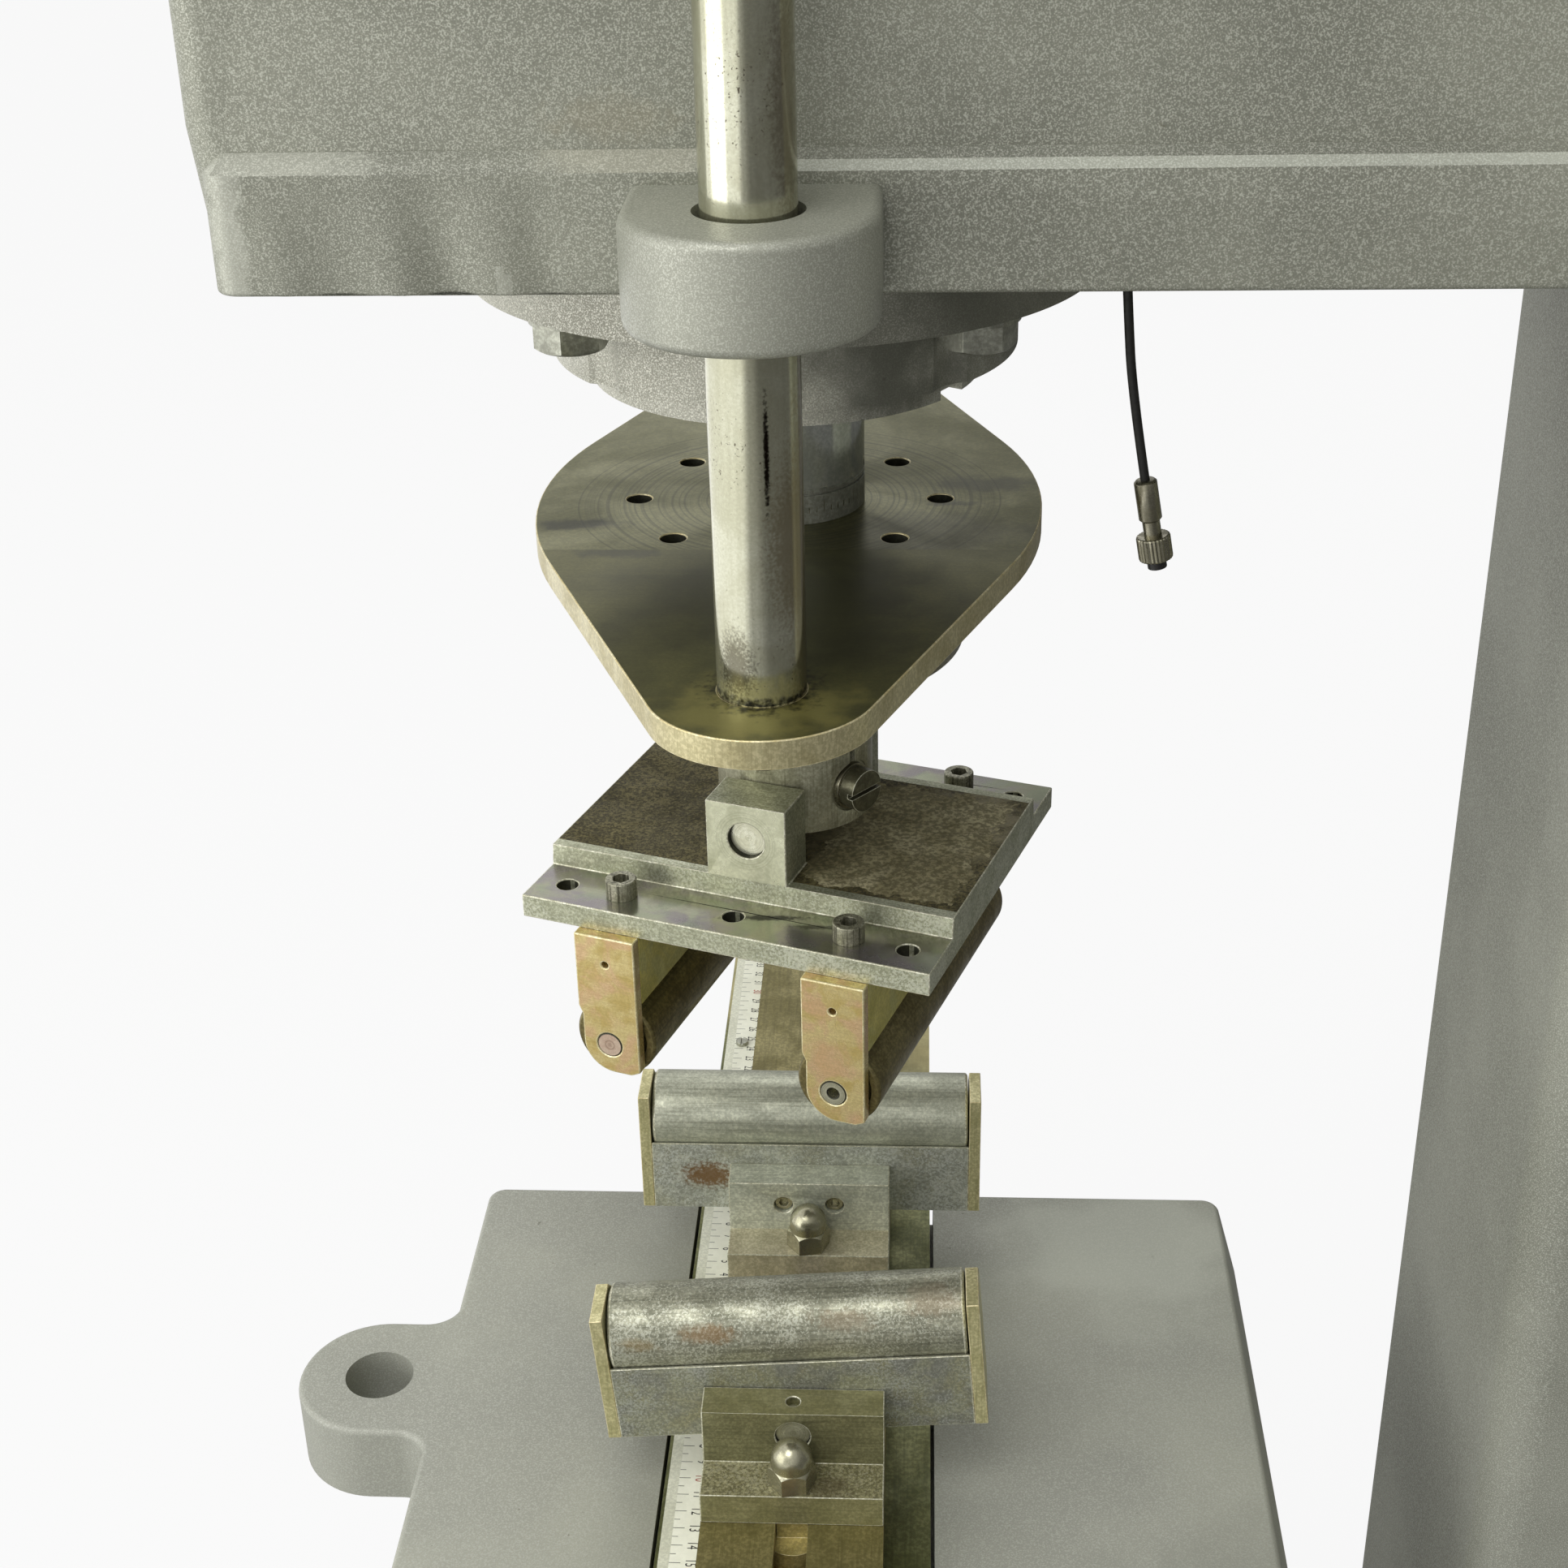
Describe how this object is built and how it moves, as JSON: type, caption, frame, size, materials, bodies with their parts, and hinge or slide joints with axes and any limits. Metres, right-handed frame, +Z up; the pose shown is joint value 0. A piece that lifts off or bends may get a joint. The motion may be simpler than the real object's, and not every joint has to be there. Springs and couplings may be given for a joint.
{
  "type": "flexural strength testing machine",
  "caption": "C-frame press that bends a beam between swivelling upper rollers and two lower rollers on a scaled slotted rail.",
  "frame": {"origin": "on the floor under the load axis", "axes": "+X towards the column, +Y along the rail away from the operator, +Z up"},
  "size_m": [0.809, 0.8, 1.297],
  "materials": {
    "cast_grey": "hammertone grey paint over cast iron",
    "table_grey": "fine grey paint over cast iron",
    "arm_grey": "silver grey hammertone paint over cast iron",
    "bolt_steel": "satin, dull facets",
    "black_steel": "black oxide",
    "rail_steel": "olive zinc, worn",
    "slot_steel": "olive gold zinc, ground",
    "ruler_white": "white scale with black and red figures",
    "ground_steel": "ground",
    "bush_brass": "machined",
    "seal_rubber": "matte",
    "zinc_steel": "pale zinc plate",
    "nickel": "satin nickel",
    "cable_black": "black jacket",
    "tip_black": "black",
    "chrome": "ground hard chrome",
    "ring_black": "dark oxide",
    "olive_zinc": "olive zinc plate, turned",
    "rod_chrome": "pitted bright plate with brown specks",
    "hub_steel": "dark satin steel",
    "pin_steel": "turned",
    "pale_zinc": "pale yellow green zinc",
    "gold_zinc": "gold chromate, brushed",
    "dark_roller": "olive brown",
    "grey_roller": "mottled grey with streaks",
    "bar_zinc": "blotchy galvanised",
    "blue_steel": "bluish grey zinc"
  },
  "bodies": {
    "frame": {"base_plate": "cast_grey", "pedestal": "cast_grey", "table": "table_grey", "column": "cast_grey", "upper_arm": "arm_grey", "frame_bolts": "bolt_steel", "rail_bar": "rail_steel", "slot_bar": "slot_steel", "slot_bar_screws": "black_steel", "ruler": "ruler_white", "ruler_screws": "bolt_steel", "rail_screws": "black_steel", "cylinder_flange": "arm_grey", "flange_bolts": "bolt_steel", "cylinder_barrel": "ground_steel", "cylinder_cap": "arm_grey", "cap_bolts": "black_steel", "rod_bush": "bush_brass", "rod_wiper": "seal_rubber", "oil_unions": "zinc_steel", "cable_gland": "nickel", "signal_cable": "cable_black", "connector_body": "nickel", "connector_ring": "nickel", "connector_tip": "tip_black"},
    "ram": {"piston": "chrome", "piston_seals": "seal_rubber", "mark_ring": "ring_black", "guide_plate": "olive_zinc", "guide_rod_front": "rod_chrome", "guide_rod_back": "rod_chrome", "guide_rod_screws": "black_steel", "spindle_hub": "hub_steel", "hub_screws": "black_steel"},
    "head": {"head_sleeve": "hub_steel", "clamp_washer": "nickel"},
    "head_clamp": {"clamp_screw": "black_steel"},
    "load_plate": {"loading_plate": "zinc_steel", "tilt_pin": "pin_steel", "plate_screws": "nickel", "holder_bar_left": "pale_zinc", "holder_bar_right": "pale_zinc", "holder_ends": "gold_zinc", "upper_axles": "pin_steel"},
    "left_upper_roller": {"upper_roller_left": "dark_roller"},
    "right_upper_roller": {"upper_roller_right": "dark_roller"},
    "front_support": {"front_block": "olive_zinc", "front_t_bolt": "black_steel", "front_pivot_pin": "pin_steel"},
    "front_nut": {"front_dome_nut": "nickel"},
    "front_cradle": {"front_cradle_bar": "bar_zinc", "front_cradle_ends": "gold_zinc"},
    "front_lower_roller": {"front_roller": "grey_roller"},
    "back_support": {"back_block": "blue_steel", "back_t_bolt": "black_steel", "back_block_screws": "nickel", "back_cradle_bar": "bar_zinc", "back_cradle_ends": "gold_zinc"},
    "back_nut": {"back_dome_nut": "nickel"},
    "back_lower_roller": {"back_roller": "grey_roller"}
  },
  "joints": [
    {"name": "ram_slide", "type": "slide", "parent": "frame", "child": "ram", "axis": [0, 0, 1], "range_m": [-0.07, 0.045]},
    {"name": "head_swivel", "type": "hinge", "parent": "ram", "child": "head", "pos_m": [0, 0, 0.78], "axis": [0, 0, 1], "continuous": true},
    {"name": "clamp_screw_turn", "type": "hinge", "parent": "head", "child": "head_clamp", "pos_m": [0.03064, -0.02571, 0.748], "axis": [0.766, -0.6428, 0], "continuous": true},
    {"name": "plate_tilt", "type": "hinge", "parent": "head", "child": "load_plate", "pos_m": [0, 0, 0.738], "axis": [0.3289, 0.9444, 0], "range_deg": [-6, 6]},
    {"name": "upper_roller_left_spin", "type": "hinge", "parent": "load_plate", "child": "left_upper_roller", "pos_m": [-0.04722, 0.01644, 0.649], "axis": [0.3289, 0.9444, 0], "continuous": true},
    {"name": "upper_roller_right_spin", "type": "hinge", "parent": "load_plate", "child": "right_upper_roller", "pos_m": [0.04722, -0.01644, 0.649], "axis": [0.3289, 0.9444, 0], "continuous": true},
    {"name": "front_support_slide", "type": "slide", "parent": "frame", "child": "front_support", "axis": [0, 1, 0], "range_m": [-0.25, 0.08]},
    {"name": "front_nut_turn", "type": "hinge", "parent": "front_support", "child": "front_nut", "pos_m": [0, -0.1338, 0.48], "axis": [0, 0, 1], "continuous": true},
    {"name": "front_cradle_rock", "type": "hinge", "parent": "front_support", "child": "front_cradle", "pos_m": [0, -0.088, 0.488], "axis": [0, 1, 0], "range_deg": [-1.5, 10.5]},
    {"name": "front_roller_spin", "type": "hinge", "parent": "front_cradle", "child": "front_lower_roller", "pos_m": [-0.00267, -0.0877, 0.5219], "axis": [0.9969, 0, 0.0785], "continuous": true},
    {"name": "back_support_slide", "type": "slide", "parent": "frame", "child": "back_support", "axis": [0, 1, 0], "range_m": [-0.08, 0.29]},
    {"name": "back_nut_turn", "type": "hinge", "parent": "back_support", "child": "back_nut", "pos_m": [0, 0.0252, 0.48], "axis": [0, 0, 1], "continuous": true},
    {"name": "back_roller_spin", "type": "hinge", "parent": "back_support", "child": "back_lower_roller", "pos_m": [0, 0.071, 0.5193], "axis": [1, 0, 0], "continuous": true}
  ]
}
